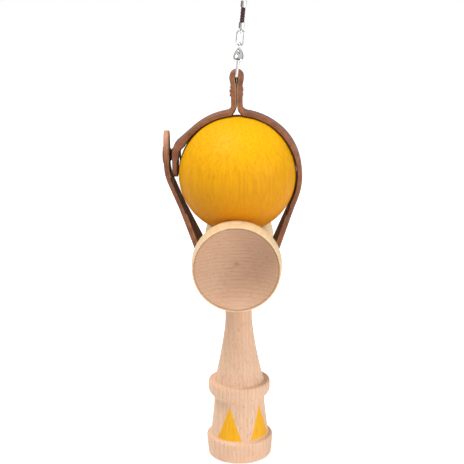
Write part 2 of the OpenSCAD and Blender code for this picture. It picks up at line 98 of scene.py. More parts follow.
CHAIN_LEAN = 6.0
HOOK_WIRE_R, HOOK_HALF, HOOK_H, HOOK_CORNER_R, HOOK_TIP_H = 0.7, 5.4, 7.6, 1.6, 4.4
CLASP_BODY_H, GATE_T = 5.8, 1.5
GATE_PIN_H, GATE_PIN_R = HOOK_H + 1.3, 0.5
EYE_WIRE_R, EYE_R, LINK_LEN = 0.5, 1.8, 8.6
STEM_R = 0.9
CORD_R, CORD_LEN, FERRULE_H = 1.15, 7.6, 2.6

# ---------------------------------------------------------------------------
# Camera: the photograph's angle, a little above the ball and far below the frame's top

PHOTO_PIXELS = 464
SENSOR_MM = 36.0
FOCAL_PIXELS = 1309.6
CAMERA_AWAY = 650.0
CAMERA_ABOVE_BALL = 156.9
CAMERA_PITCH = math.degrees(0.2814)
CAMERA_AZIMUTH = 1.5
CAMERA_ROLL = -0.55
# The handle's axis stands this many pixels right of the picture's middle, at the ball
AXIS_PIXELS_RIGHT = 6.2


def make_camera():
    """A camera without shift, aimed by its pitch and turned so that the axis stands where it should."""
    data = bpy.data.cameras.new("camera")
    data.sensor_width = SENSOR_MM
    data.lens = SENSOR_MM * FOCAL_PIXELS / PHOTO_PIXELS
    data.clip_start = 0.01
    data.clip_end = 20.0
    camera = bpy.data.objects.new("camera", data)
    bpy.context.scene.collection.objects.link(camera)
    azimuth = math.radians(CAMERA_AZIMUTH)
    yaw = azimuth + math.atan(AXIS_PIXELS_RIGHT / FOCAL_PIXELS)
    right, back = math.sin(azimuth) * CAMERA_AWAY, -math.cos(azimuth) * CAMERA_AWAY
    place = Vector((right, back, BALL_Z + CAMERA_ABOVE_BALL))
    turn = Matrix.Rotation(yaw, 4, "Z") @ Matrix.Rotation(math.radians(90 - CAMERA_PITCH), 4, "X")
    roll = Matrix.Rotation(math.radians(CAMERA_ROLL), 4, "Z")
    camera.matrix_world = Matrix.Translation(place * MM) @ turn @ roll
    bpy.context.scene.camera = camera


make_camera()

# ---------------------------------------------------------------------------
# Floor, backdrop and light


class NodeTree:
    """A material's or the world's node tree, emptied, with the kinds of node that both need."""

    def __init__(self, owner):
        owner.use_nodes = True
        self.nodes = owner.node_tree.nodes
        self.nodes.clear()
        self.link = owner.node_tree.links.new

    def node(self, kind, **inputs):
        """A node of a kind with its inputs filled."""
        node = self.nodes.new(kind)
        for key, value in inputs.items():
            self.put(value, node.inputs[key])
        return node

    def put(self, value, socket):
        """Links another node's output to a socket, or writes a plain value on it."""
        if isinstance(value, bpy.types.NodeSocket):
            self.link(value, socket)
        else:
            socket.default_value = value

    def math(self, operation, a, b=0.0, c=None):
        node = self.nodes.new("ShaderNodeMath")
        node.operation = operation
        self.put(a, node.inputs[0])
        self.put(b, node.inputs[1])
        if c is not None:
            self.put(c, node.inputs[2])
        return node.outputs[0]

    def steps(self, value, low, high, to_low=0.0, to_high=1.0):
        """A value between low and high, mapped to the range from to_low to to_high."""
        ends = {"From Min": low, "From Max": high, "To Min": to_low, "To Max": to_high}
        return self.node("ShaderNodeMapRange", Value=value, **ends).outputs["Result"]

    def choose(self, factor, a, b):
        """Shader a turning into shader b as the factor goes from 0 to 1."""
        node = self.node("ShaderNodeMixShader", Fac=factor)
        self.link(a.outputs[0], node.inputs[1])
        self.link(b.outputs[0], node.inputs[2])
        return node


WHITE = (1, 1, 1, 1)
FLOOR_HALF = 4.0
FLOOR_DROP = 0.0002
FLOOR_COLOR, FLOOR_GLOW = (0.93, 0.92, 0.92, 1), 0.62
SOFT_LIGHT, SOFT_LIGHT_COLOR = 0.36, (1.0, 0.99, 0.98, 1)
# What metal reflects: how bright its white walls are, and the colour and depth of the dark parts
STUDIO_WHITE = 0.9
STUDIO_DARK, STUDIO_DARKNESS = (0.07, 0.05, 0.045, 1), 0.85


def white_floor():
    """A floor that shows plain white to the camera and keeps a faint shadow of the object."""
    material = bpy.data.materials.new("floor_white")
    s = NodeTree(material)
    diffuse = s.node("ShaderNodeBsdfDiffuse", Color=FLOOR_COLOR)
    glow = s.node("ShaderNodeEmission", Color=WHITE, Strength=FLOOR_GLOW)
    both = s.nodes.new("ShaderNodeAddShader")
    s.link(diffuse.outputs[0], both.inputs[0])
    s.link(glow.outputs[0], both.inputs[1])
    rays = s.nodes.new("ShaderNodeLightPath").outputs
    seen = s.math("MAXIMUM", rays["Is Camera Ray"], rays["Is Glossy Ray"])
    shown = s.choose(seen, diffuse, both)
    s.node("ShaderNodeOutputMaterial", Surface=shown.outputs[0])
    return material


def make_floor():
    """A wide plane just below the toy, so that their faces don't share a height."""
    half = FLOOR_HALF
    corners = [(-half, -half, 0), (half, -half, 0), (half, half, 0), (-half, half, 0)]
    mesh = bpy.data.meshes.new("floor")
    mesh.from_pydata(corners, [], [(0, 1, 2, 3)])
    floor = bpy.data.objects.new("floor", mesh)
    floor.location.z = -FLOOR_DROP
    bpy.context.scene.collection.objects.link(floor)
    mesh.materials.append(white_floor())


def make_world():
    """White for the camera, a plain soft light for everything, and a studio for what metal reflects:
    white walls with a dark line at the horizon and a dark patch on the viewer's side."""
    world = bpy.data.worlds.new("world")
    bpy.context.scene.world = world
    s = NodeTree(world)

    def background(color, strength):
        return s.node("ShaderNodeBackground", Color=color, Strength=strength)

    toward = s.nodes.new("ShaderNodeTexCoord").outputs["Generated"]
    _, y, z = s.node("ShaderNodeSeparateXYZ", Vector=toward).outputs
    viewer = s.steps(y, -0.95, -0.55, STUDIO_DARKNESS, 0.0)
    horizon = s.steps(s.math("ABSOLUTE", z), 0.10, 0.32, STUDIO_DARKNESS, 0.0)
    dark = s.math("MAXIMUM", viewer, horizon)
    studio = s.choose(dark, background(WHITE, STUDIO_WHITE), background(STUDIO_DARK, 1.0))
    rays = s.nodes.new("ShaderNodeLightPath").outputs
    mixed = s.choose(rays["Is Glossy Ray"], background(SOFT_LIGHT_COLOR, SOFT_LIGHT), studio)
    seen = s.math("MAXIMUM", rays["Is Camera Ray"], rays["Is Transmission Ray"])
    shown = s.choose(seen, mixed, background(WHITE, 1.0))
    s.node("ShaderNodeOutputWorld", Surface=shown.outputs[0])


def make_lamp(name, place, target, size, power):
    """A round white lamp at a place, turned to its target; sizes are in metres."""
    data = bpy.data.lights.new(name, "AREA")
    data.shape = "DISK"
    data.size = size
    data.energy = power
    lamp = bpy.data.objects.new(name, data)
    lamp.location = place
    lamp.rotation_euler = (Vector(target) - Vector(place)).to_track_quat("-Z", "Y").to_euler()
    bpy.context.scene.collection.objects.link(lamp)


make_floor()
make_world()
make_lamp("key", (-0.40, -0.28, 1.32), (0, 0, 0.12), 0.60, 13.0)
make_lamp("fill", (0.95, -0.75, 0.22), (0, 0, 0.04), 0.7, 7.2)
bpy.context.scene.view_settings.view_transform = "Standard"

# ---------------------------------------------------------------------------
# Materials


def srgb(r, g, b):
    """A colour as it is seen, 0 to 255, as the linear colour that the shaders take."""
    def linear(v):
        v = v / 255
        return v / 12.92 if v <= 0.04045 else ((v + 0.055) / 1.055) ** 2.4
    return (linear(r), linear(g), linear(b), 1)


class Shader(NodeTree):
    """A principled material whose inputs are filled by small node chains."""

    def __init__(self, name, **fixed):
        self.material = bpy.data.materials.new(name)
        super().__init__(self.material)
        self.bsdf = self.nodes.new("ShaderNodeBsdfPrincipled")
        for socket, value in fixed.items():
            self.bsdf.inputs[socket.replace("_", " ")].default_value = value
        self.node("ShaderNodeOutputMaterial", Surface=self.bsdf.outputs[0])
        self.object = self.nodes.new("ShaderNodeTexCoord").outputs["Object"]

    def scaled(self, x, y, z, turn=(0, 0, 0)):
        """The object's own coordinates, stretched along its axes and turned."""
        return self.node("ShaderNodeMapping", Vector=self.object, Scale=(x, y, z), Rotation=turn).outputs[0]

    def noise(self, vector, scale, detail=3.0, rough=0.55, distort=0.0):
        inputs = {"Scale": scale, "Detail": detail, "Roughness": rough, "Distortion": distort}
        return self.node("ShaderNodeTexNoise", Vector=vector, **inputs).outputs["Fac"]

    def ramp(self, value, *stops):
        """Maps a value to colours: each stop is (position, colour)."""
        node = self.node("ShaderNodeValToRGB", Fac=value)
        for element, (position, color) in zip(node.color_ramp.elements, stops):
            element.position = position
            element.color = color
        return node.outputs["Color"]

    def mix(self, factor, a, b):
        """Colour a turning into colour b as the factor goes from 0 to 1."""
        node = self.nodes.new("ShaderNodeMix")
        node.data_type = "RGBA"
        self.put(factor, node.inputs["Factor"])
        self.put(a, node.inputs["A"])
        self.put(b, node.inputs["B"])
        return next(output for output in node.outputs if output.type == "RGBA")

    def axes(self):
        return self.node("ShaderNodeSeparateXYZ", Vector=self.object).outputs

    def bump(self, height, distance, strength):
        node = self.node("ShaderNodeBump", Height=height, Distance=distance, Strength=strength)
        return node.outputs["Normal"]

    def finish(self, color, rough=None, normal=None):
        """Sets what the surface shows and returns the material."""
        self.put(color, self.bsdf.inputs["Base Color"])
        if rough is not None:
            self.put(rough, self.bsdf.inputs["Roughness"])
        if normal is not None:
            self.put(normal, self.bsdf.inputs["Normal"])
        return self.material


LATHE_LIGHT = srgb(243, 205, 174)
LATHE_MID = srgb(228, 185, 152)
LATHE_DARK = srgb(186, 140, 108)
# The darker wood colour painted on the neck as shade under the cups
PAINTED_NECK_SHADE = srgb(204, 158, 126)
BALL_LIGHT = srgb(252, 190, 8)
BALL_MID = srgb(238, 168, 12)
BALL_DARK = srgb(206, 134, 22)
# The ball's colour at its bottom: painted shade for the light from above leaving the underside darker
BALL_PAINTED_SHADE = srgb(204, 122, 24)
BALL_PORE = srgb(176, 112, 22)
CUP_LIGHT, CUP_MID = srgb(244, 217, 172), srgb(234, 203, 156)
DISH_LIGHT, DISH_MID, DISH_DARK = srgb(213, 174, 144), srgb(199, 157, 127), srgb(158, 116, 88)
RIM_DARK = srgb(120, 80, 56)
TRIANGLE_LIGHT, TRIANGLE_DARK = srgb(250, 186, 6), srgb(238, 168, 2)
# Where the middle of the tree's rings lay, in metres, across the grain of each piece
HANDLE_HEART, BALL_HEART, CUPS_HEART = (0.300, 0.030), (0.300, 0.020), (-0.030, -2.0)
HANDLE_RING, BALL_RING, CUPS_RING = 0.0021, 0.0040, 0.0019
GRAIN_BUMP = 0.00005


def stretched(s, along, share):
    """Coordinates in which a pattern is drawn out along one axis (0, 1 or 2)."""
    return s.scaled(*[share if i == along else 1.0 for i in range(3)])


def wood_grain(s, along, heart, ring_width, wobble, bend):
    """Growth rings round a far centre: along is the axis the grain runs on (0, 1 or 2), bend is how far
    the rings wander, in ring widths. Returns the ring pattern, 0 to 1, and fine fibre streaks, 0 to 1."""
    slow = s.noise(stretched(s, along, 0.06), wobble, 2.0)
    across = [v for i, v in enumerate(s.axes()) if i != along]
    from_centre = [s.math("SUBTRACT", v, c) for v, c in zip(across, heart)]
    squares = [s.math("MULTIPLY", v, v) for v in from_centre]
    radius = s.math("SQRT", s.math("ADD", *squares))
    bent = s.math("MULTIPLY_ADD", slow, ring_width * bend, radius)
    phase = s.math("FRACT", s.math("DIVIDE", bent, ring_width))
    fine = s.noise(stretched(s, along, 0.035), 1500.0, 4.0, 0.6)
    return phase, fine


def beech(name, tones, along, heart, ring_width, bend, ring_share, pore_share=0.45, mark_z=None):
    """Pale beech with growth rings, fibre streaks and the short dark pores that beech has.
    tones are its light, middle and dark colours; the shares say how strongly rings and pores show.
    mark_z is the height of a dish's centre, where the lathe left its mark.
    Returns the shader and its colour, which more paint can go over."""
    light, middle, dark = tones
    s = Shader(name, Coat_Weight=0.04, Coat_Roughness=0.4, Specular_IOR_Level=0.35)
    rings, fibres = wood_grain(s, along, heart, ring_width, 40.0, bend)
    late = s.math("POWER", rings, 2.2)
    base = s.ramp(fibres, (0.30, middle), (0.62, light))
    ringed = s.mix(s.math("MULTIPLY", late, ring_share), base, dark)
    flecks = s.noise(stretched(s, along, 0.11), 2100.0, 1.0, 0.4)
    pores = s.steps(flecks, 0.655, 0.72)
    speckled = s.mix(s.math("MULTIPLY", pores, pore_share), ringed, dark)
    blotch = s.noise(s.object, 38.0, 2.0)
    warm = s.mix(s.steps(blotch, 0.35, 0.7, 0.0, 0.30), speckled, middle)
    if mark_z is not None:
        x, _, z = s.axes()
        up = s.math("SUBTRACT", z, mark_z * MM)
        off = s.math("SQRT", s.math("ADD", s.math("MULTIPLY", x, x), s.math("MULTIPLY", up, up)))
        warm = s.mix(s.steps(off, 0.0003, 0.0016, 0.55, 0.0), warm, dark)
    height = s.math("SUBTRACT", s.math("MULTIPLY", fibres, 0.5), pores)
    s.finish(warm, s.steps(fibres, 0.3, 0.7, 0.60, 0.48), s.bump(height, GRAIN_BUMP, 0.45))
    return s, warm


def make_yellow_paint():
    """Satin yellow paint, thin enough that the grain of the wood below still shows."""
    s = Shader("yellow_paint", Coat_Weight=0.0, Specular_IOR_Level=0.10)
    rings, fibres = wood_grain(s, 2, BALL_HEART, BALL_RING, 30.0, 1.6)
    late = s.math("POWER", rings, 2.0)
    streaks = s.noise(stretched(s, 2, 0.03), 900.0, 3.0, 0.6)
    base = s.ramp(streaks, (0.34, BALL_MID), (0.60, BALL_LIGHT))
    _, _, z = s.axes()
    # Painted shade: the paint darkens towards the ball's bottom, standing for the shade under the light from
    # above
    painted_shade_share = s.steps(z, (BALL_Z + 22) * MM, (BALL_Z - 27) * MM, 0.0, 0.92)
    shaded_paint = s.mix(painted_shade_share, base, BALL_PAINTED_SHADE)
    ringed = s.mix(s.math("MULTIPLY", late, 0.11), shaded_paint, BALL_DARK)
    flecks = s.noise(stretched(s, 2, 0.09), 1500.0, 1.0, 0.4)
    pores = s.steps(flecks, 0.68, 0.75)
    pored = s.mix(s.math("MULTIPLY", pores, 0.38), ringed, BALL_PORE)
    scuffs = s.noise(s.scaled(1.0, 1.0, 0.35, turn=(0.3, 0.25, 0.1)), 130.0, 5.0, 0.7, 0.6)
    dirty = s.mix(s.steps(scuffs, 0.60, 0.80, 0.0, 0.20), pored, BALL_PORE)
    height = s.math("SUBTRACT", s.math("MULTIPLY", fibres, 0.4), pores)
    return s.finish(dirty, s.steps(streaks, 0.3, 0.7, 0.56, 0.48), s.bump(height, GRAIN_BUMP, 0.22))


# The painted triangles: how many, where the first stands, their size on the waist and how sharp they are
TRIANGLE_STEP_DEG = 72.0
TRIANGLES = 4
FIRST_TRIANGLE_DEG = -111.0
TRIANGLE_BASE_DEG = 55.0
TRIANGLE_FOOT_Z, TRIANGLE_TIP_Z = 12.4, 31.3
FOOT_SHARP, TIP_SHARP = 0.00005, 0.0002
# Painted shade for the cups' shadow on the neck: where it starts and ends in height, and how strongly it
# darkens the wood at its top
PAINTED_NECK_SHADE_FROM_Z, PAINTED_NECK_SHADE_TO_Z, PAINTED_NECK_SHADE_SHARE = 50.0, 96.0, 0.55


def make_handle_wood():
    """Beech with a row of plain yellow triangles painted round the waist."""
    colors = (LATHE_LIGHT, LATHE_MID, LATHE_DARK)
    s, wood = beech("beech_handle", colors, 2, HANDLE_HEART, HANDLE_RING, 1.0, 0.22, 0.65)
    x, y, z = s.axes()
    # Painted shade: the wood turns darker up the neck, where the cups' shadow falls
    painted_neck_shade = s.steps(z, PAINTED_NECK_SHADE_FROM_Z * MM, PAINTED_NECK_SHADE_TO_Z * MM, 0.0, PAINTED_NECK_SHADE_SHARE)
    wood = s.mix(painted_neck_shade, wood, PAINTED_NECK_SHADE)
    around = s.math("DEGREES", s.math("ARCTAN2", y, x))
    step = TRIANGLE_STEP_DEG
    shifted = s.math("MODULO", s.math("ADD", around, 2 * 360.0 + step / 2 - FIRST_TRIANGLE_DEG), 360.0)
    painted = s.math("LESS_THAN", shifted, step * TRIANGLES)
    local = s.math("ABSOLUTE", s.math("SUBTRACT", s.math("MODULO", shifted, step), step / 2))
    foot, tip = TRIANGLE_FOOT_Z * MM, TRIANGLE_TIP_Z * MM
    ragged = s.noise(s.object, 900.0, 2.0)
    half = s.steps(z, foot, tip, TRIANGLE_BASE_DEG / 2, 0.0)
    inside = s.math("ADD", s.math("SUBTRACT", half, local), s.steps(ragged, 0.3, 0.7, -0.5, 0.5))
    edge = s.steps(inside, 0.0, 0.9)
    above = s.steps(z, foot - FOOT_SHARP, foot + FOOT_SHARP)
    below = s.steps(z, tip, tip - TIP_SHARP)
    mask = s.math("MULTIPLY", s.math("MULTIPLY", edge, above), s.math("MULTIPLY", below, painted))
    streaks = s.noise(stretched(s, 2, 0.05), 900.0, 3.0, 0.6)
    paint = s.ramp(streaks, (0.34, TRIANGLE_DARK), (0.66, TRIANGLE_LIGHT))
    return s.finish(s.mix(mask, wood, paint))


def make_cups_wood(name, tones, ring_share, bend, mark_z=None):
    """The cross cups' beech, whose grain runs across the cups."""
    return beech(name, tones, 0, CUPS_HEART, CUPS_RING, bend, ring_share, mark_z=mark_z)[0].material


def make_leather(name, light, dark, rough, grain, bump, tip_z=None, tip=None):
    """Vegetable-tanned leather: pebbled, creased and a little uneven in colour.
    grain is how fine its pebbles are and bump how high. tip is a lighter colour, painted light for the light
    from above, that it takes on over the last 14 mm below the height tip_z."""
    s = Shader(name, Coat_Weight=0.0)
    cells = s.node("ShaderNodeTexVoronoi", Vector=s.object, Scale=grain)
    pebbles = cells.outputs["Distance"]
    cloud = s.noise(s.object, 190.0, 4.0, 0.65)
    fine = s.noise(s.object, 2600.0, 3.0, 0.6)
    mottle = s.math("MULTIPLY_ADD", fine, 0.35, s.math("MULTIPLY", cloud, 0.65))
    color = s.ramp(mottle, (0.38, dark), (0.60, light))
    if tip is not None:
        _, _, z = s.axes()
        # Painted light: the colour turns lighter towards the top, where the light from above falls
        painted_top_light = s.steps(z, (tip_z - 14) * MM, (tip_z - 4) * MM, 0.0, 0.85)
        color = s.mix(painted_top_light, color, tip)
    height = s.math("MULTIPLY_ADD", fine, 0.5, pebbles)
    return s.finish(color, s.steps(fine, 0.3, 0.7, rough + 0.06, rough - 0.06), s.bump(height, bump, 0.6))


def make_metal(name, color, rough, scratch=0.10):
    """Plated metal with faint wipe marks."""
    s = Shader(name, Metallic=1.0)
    marks = s.noise(stretched(s, 2, 0.2), 2400.0, 3.0, 0.7)
    dust = s.noise(s.object, 420.0, 3.0)
    dull = (*[0.72 * v for v in color[:3]], 1)
    tint = s.mix(s.steps(dust, 0.45, 0.75, 0.0, 0.12), color, dull)
    return s.finish(tint, s.steps(marks, 0.3, 0.7, rough, rough + scratch))


def make_cord_material():
    """A dark round cord with a fine spiral lay."""
    s = Shader("cord_maroon", Sheen_Weight=0.3, Sheen_Roughness=0.4)
    x, y, z = s.axes()
    around = s.math("ARCTAN2", y, x)
    lay = s.math("SINE", s.math("MULTIPLY_ADD", around, 2.0, s.math("MULTIPLY", z, 5200.0)))
    fuzz = s.noise(s.object, 5200.0, 3.0, 0.7)
    shade = s.math("MULTIPLY_ADD", fuzz, 0.5, s.math("MULTIPLY", lay, 0.25))
    color = s.ramp(shade, (0.0, srgb(30, 12, 14)), (0.5, srgb(84, 44, 48)))
    return s.finish(color, 0.7, s.bump(shade, 0.00012, 0.7))


PAINT = make_yellow_paint()
HANDLE_WOOD = make_handle_wood()
CUPS_WOOD = make_cups_wood("beech_cups", (CUP_LIGHT, CUP_MID, LATHE_DARK), 0.22, 1.2)
DISH_WOOD = make_cups_wood("beech_dish", (DISH_LIGHT, DISH_MID, DISH_DARK), 0.26, 0.7, CUP_AXIS_Z)
RIM_LINE = make_cups_wood("beech_rim_line", (DISH_MID, DISH_DARK, RIM_DARK), 0.30, 0.7)
GRAIN_SIDE = make_leather("leather_grain", srgb(142, 90, 64), srgb(104, 62, 42), 0.50, 900.0, 0.00010)
FLESH_SIDE = make_leather("leather_flesh", srgb(138, 104, 70), srgb(92, 66, 42), 0.85, 1700.0, 0.00016)
CUT_EDGE = make_leather("leather_edge", srgb(158, 102, 68), srgb(119, 71, 47), 0.60, 1500.0, 0.00008)
RAW_EDGE = make_leather("leather_edge_raw", srgb(190, 142, 100), srgb(140, 96, 62), 0.75, 1900.0, 0.00010)
# A dark rim colour: painted shade for the crevice between the strap and the ball
PAINTED_SHADE_RIM_EDGE = make_leather("leather_edge_painted_shade_rim", srgb(66, 40, 30), srgb(42, 26, 20), 0.80, 1900.0, 0.00010)
# The flap's edge turns lighter towards its top: painted light from above
FLAP_EDGE = make_leather("leather_edge_flap", srgb(158, 102, 68), srgb(119, 71, 47), 0.60, 1500.0, 0.00008,
                         BALL_Z + FLAP_TOP, srgb(206, 150, 118))
CHROME = make_metal("chrome", srgb(206, 205, 204), 0.10)
BRASS = make_metal("dark_brass", srgb(150, 118, 92), 0.28, 0.15)
RIVET_METAL = make_metal("dark_brass_worn", srgb(214, 200, 184), 0.20, 0.12)
STEEL = make_metal("spring_steel", srgb(150, 150, 152), 0.30)
CORD_DARK = make_cord_material()

# ---------------------------------------------------------------------------
# Mesh helpers. Everything here is in millimetres and is scaled to metres at the end.


def arc(cx, cy, r, a0, a1, n):
    """Points of an arc from angle a0 to a1, in degrees."""
    angles = [math.radians(a0 + (a1 - a0) * i / n) for i in range(n + 1)]
    return [(cx + r * math.cos(a), cy + r * math.sin(a)) for a in angles]


def finished_piece(name, bm, materials, turn=None, sharp_deg=38.0):
    """Turns a bmesh in millimetres into a smooth-shaded object in metres, its place in its mesh."""
    if turn is not None:
        bmesh.ops.transform(bm, matrix=turn, verts=bm.verts)
    bmesh.ops.scale(bm, vec=(MM, MM, MM), verts=bm.verts)
    bmesh.ops.recalc_face_normals(bm, faces=bm.faces)
    mesh = bpy.data.meshes.new(name)
    bm.to_mesh(mesh)
    bm.free()
    for material in materials:
        mesh.materials.append(material)
    mesh.shade_smooth()
    mesh.set_sharp_from_angle(angle=math.radians(sharp_deg))
    piece = bpy.data.objects.new(name, mesh)
    bpy.context.scene.collection.objects.link(piece)
    return piece


def lathe(bm, outline, steps=128, material=0):
    """Turns an outline of (radius, height) points round the Z axis; ends on the axis are closed."""
    rows = []
    for r, z in outline:
        if r < 1e-6:
            rows.append([bm.verts.new((0, 0, z))])
            continue
        angles = [2 * math.pi * i / steps for i in range(steps)]
        rows.append([bm.verts.new((r * math.cos(a), r * math.sin(a), z)) for a in angles])
    for low, high in zip(rows, rows[1:]):
        for i in range(steps):
            j = (i + 1) % steps
            corners = [low[i % len(low)], low[j % len(low)], high[j % len(high)], high[i % len(high)]]
            unique = list(dict.fromkeys(corners))
            if len(unique) > 2:
                bm.faces.new(unique).material_index = material


def skin(bm, rings):
    """Faces between each ring of points and the next. Returns each face with its ring's and side's index."""
    made = []
    for i, (low, high) in enumerate(zip(rings, rings[1:])):
        for k in range(len(low)):
            m = (k + 1) % len(low)
            made.append((bm.faces.new((low[k], low[m], high[m], high[k])), i, k))
    return made


def tube(bm, path, radius, sides):
    """A round tube along a path of 3-D points that doesn't start along X, with flat ends."""
    points = [Vector(p) for p in path]
    angles = [2 * math.pi * k / sides for k in range(sides)]
    rings = []
    normal = Vector((1, 0, 0))
    for i, point in enumerate(points):
        along = (points[min(i + 1, len(points) - 1)] - points[max(i - 1, 0)]).normalized()
        normal = (normal - along * normal.dot(along)).normalized()
        side = along.cross(normal)
        around = [point + (normal * math.cos(a) + side * math.sin(a)) * radius for a in angles]
        rings.append([bm.verts.new(p) for p in around])
    skin(bm, rings)
    bm.faces.new(rings[0])
    bm.faces.new(rings[-1])


def cut(piece, cutter, operation="DIFFERENCE"):
    """Cuts one object out of another, or joins it on, and applies the result."""
    modifier = piece.modifiers.new("cut", "BOOLEAN")
    modifier.operation = operation
    modifier.solver = "EXACT"
    modifier.object = cutter
    apply_modifiers(piece)
    bpy.data.objects.remove(cutter)


def apply_modifiers(piece):
    """Replaces a piece's mesh by what its modifiers make of it."""
    graph = bpy.context.evaluated_depsgraph_get()
    graph.update()
    result = bpy.data.meshes.new_from_object(piece.evaluated_get(graph))
    old = piece.data
    piece.modifiers.clear()
    piece.data = result
    result.name = old.name


# ---------------------------------------------------------------------------
# Turned wood: handle, cross cups and ball


def flare_radius(z):
    """The handle's radius at a height between the slip ring and the neck."""
    return NECK_R + (FLARE_R - NECK_R) * ((NECK_Z - z) / (NECK_Z - SLIP_Z)) ** FLARE_POWER


def dish_outline(mouth_r, depth, rim, n=24):
    """A spherical dish from its middle out to its mouth: (radius, height) with the mouth at height rim."""
    dish_r = (mouth_r**2 + depth**2) / (2 * depth)
    widest = math.degrees(math.asin(mouth_r / dish_r))
    return arc(0, rim - depth + dish_r, dish_r, -90, -90 + widest, n)


def make_handle():
    """The handle as one turned outline, from the base cup's middle round the foot to the spike's tip."""
    slip_side = SLIP_Z - SLIP_H + SLIP_SIDE_UP
    cup = [(r, -h) for r, h in dish_outline(BASE_CUP_R, BASE_CUP_DEPTH, 0)]
    outline = cup[:-1] + arc(BASE_CUP_R + MOUTH_ROUND, MOUTH_ROUND, MOUTH_ROUND, 200, 270, 3)
    outline += [(FOOT_R, 0.0)]
    outline += arc(BASE_R - BASE_TAPER - FOOT_ROUND, FOOT_ROUND, FOOT_ROUND, -70, 0, 8)
    outline += [(BASE_R - 0.35, 5.5), (BASE_R - 0.08, 8.5)]
    outline += arc(BASE_R - SMALL_FILLET, BASE_H - SMALL_FILLET, SMALL_FILLET, 0, 86, 10)
    outline += arc(WAIST_LOW_R + ROOT_FILLET, BASE_H + 0.62, ROOT_FILLET, 262, 188, 6)
    under_r = (SLIP_R - WAIST_TOP_R) / (2 * (1 - math.cos(math.radians(UNDERCUT_DEG))))
    low = slip_side - 2 * under_r * math.sin(math.radians(UNDERCUT_DEG))
    for f in range(1, 9):
        narrowed = (WAIST_TOP_R - WAIST_LOW_R) * (1 - (1 - f / 8)**1.35)
        outline.append((WAIST_LOW_R + narrowed, BASE_H + 1.2 + (low - BASE_H - 1.7) * f / 8))
    outline += arc(WAIST_TOP_R + under_r, low, under_r, 180, 180 - UNDERCUT_DEG, 12)
    outline += arc(SLIP_R - under_r, slip_side, under_r, -UNDERCUT_DEG * 11 / 12, 0, 11)
    outline += arc(SLIP_R - SMALL_FILLET, SLIP_Z - SMALL_FILLET, SMALL_FILLET, 0, 96, 10)
    outline += [(SLIP_R - 1.9, SLIP_Z - 0.12), (SLIP_R - 2.6, SLIP_Z - 0.2)]
    outline += arc(FLARE_R + FLARE_FILLET, SLIP_Z + 0.35, FLARE_FILLET, 262, 195, 6)
    lowest = SLIP_Z + 0.7
    outline += [(flare_radius(z), z) for z in (lowest + (NECK_Z - lowest) * i / 26 for i in range(27))]
    outline += [(NECK_R, SEAT_LOW_Z), (SPIKE_R, SPIKE_Z)]
    for i in range(1, 14):
        f = i / 14
        r = SPIKE_TIP_R + (SPIKE_R - SPIKE_TIP_R) * (1 - f**SPIKE_POWER)
        outline.append((r, SPIKE_Z + (SPIKE_LEN - SPIKE_TIP_R) * f))
    outline += arc(0, SPIKE_TOP - SPIKE_TIP_R, SPIKE_TIP_R, 8, 90, 10)
    bm = bmesh.new()
    lathe(bm, outline, 160)
    handle = finished_piece("handle_turned", bm, [HANDLE_WOOD], sharp_deg=32)
    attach(handle, "handle")
    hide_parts("ken_handle")


def cup_outline(reach, cup_r, depth):
    """Half of the cross cups from the barrel's middle to the middle of the dish: (radius, distance)."""
    wall = reach - CUP_WALL_LEN
    outline = []
    for i in range(1, 19):
        f = i / 20
        r = BARREL_R + (cup_r + CUP_SWELL - BARREL_R) * f**CUP_FLARE_POWER
        outline.append((r, BARREL_HALF + (wall - BARREL_HALF) * f))
    outline += arc(cup_r + CUP_SWELL - 0.85, wall + 0.55, 0.8, -40, 4, 6)
    for f in (0.3, 0.5, 0.7, 0.85):
        outline.append((cup_r + CUP_SWELL * (1 - f**1.6), wall + (CUP_WALL_LEN - 0.5) * f))
    outline += arc(cup_r - CUP_LIP / 2, reach - CUP_LIP / 2, CUP_LIP / 2, 0, 150, 12)
    dish = dish_outline(cup_r - CUP_LIP, depth, reach, 40)
    return outline + dish[::-1][1:]


def make_cross_cups():
    """Both cups on their barrel. Their dishes and the line round each rim are darker than the rest."""
    big = cup_outline(BIG_CUP_REACH, BIG_CUP_R, BIG_CUP_DEPTH)
    small = [(r, -d) for r, d in cup_outline(SMALL_CUP_REACH, SMALL_CUP_R, SMALL_CUP_DEPTH)]
    bm = bmesh.new()
    barrel = [(BARREL_R, -BARREL_HALF), (BARREL_R, 0), (BARREL_R, BARREL_HALF)]
    lathe(bm, small[::-1] + barrel + big, 160)
    for face in bm.faces:
        middle = face.calc_center_median()
        r, far = math.hypot(middle.x, middle.y), abs(middle.z)
        reach, cup_r = (BIG_CUP_REACH, BIG_CUP_R) if middle.z > 0 else (SMALL_CUP_REACH, SMALL_CUP_R)
        dish_r = cup_r - CUP_LIP
        if far > reach - CUP_WALL_LEN - 0.2 and r < dish_r + 0.30:
            face.material_index = 1 if r < dish_r - 0.25 else 2
    turn = Matrix.Translation((0, 0, CUP_AXIS_Z)) @ Matrix.Rotation(math.radians(90), 4, "X")
    cups = finished_piece("cross_cups_turned", bm, [CUPS_WOOD, DISH_WOOD, RIM_LINE], turn=turn, sharp_deg=40)
    bore = bmesh.new()
    inner, outer = BARREL_R - 3.3, BARREL_R + 1.7
    lathe(bore, [(0, inner), (STRING_HOLE_R, inner), (STRING_HOLE_R, outer), (0, outer)], 48)
    along_x = Matrix.Translation((0, 0, CUP_AXIS_Z)) @ Matrix.Rotation(math.radians(90), 4, "Y")
    cut(cups, finished_piece("cutter", bore, [], turn=along_x))
    cups.data.set_sharp_from_angle(angle=math.radians(40))
    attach(cups, "handle")
    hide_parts("cross_cups")


